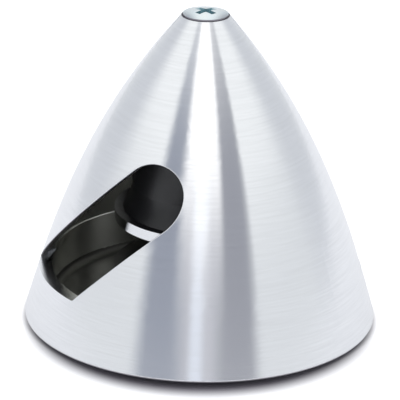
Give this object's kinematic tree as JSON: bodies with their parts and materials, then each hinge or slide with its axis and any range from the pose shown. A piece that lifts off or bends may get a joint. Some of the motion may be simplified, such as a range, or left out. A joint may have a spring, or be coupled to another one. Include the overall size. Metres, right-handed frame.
{
  "type": "propeller spinner",
  "caption": "Turned aluminium propeller spinner: hollow ogive cone with slanted blade slots, cup-shaped backplate, propeller nut and washer inside, countersunk nose screw.",
  "frame": {"origin": "on the axis of spin, at the backplate's rear hub face", "axes": "+Z along the axis of spin towards the nose; the blade slots open towards -Y and +Y"},
  "size_m": [0.0568, 0.0568, 0.0521],
  "materials": {
    "turned_aluminium": "fine turned, satin",
    "blackened_steel": "turned, then oil-blackened",
    "zinc_plated_steel": "bright zinc plating with a bluish tint"
  },
  "bodies": {
    "root": {"backplate": "turned_aluminium", "spinner_cone": "turned_aluminium", "propeller_washer": "turned_aluminium", "propeller_nut": "blackened_steel", "nose_screw": "zinc_plated_steel"}
  },
  "joints": []
}
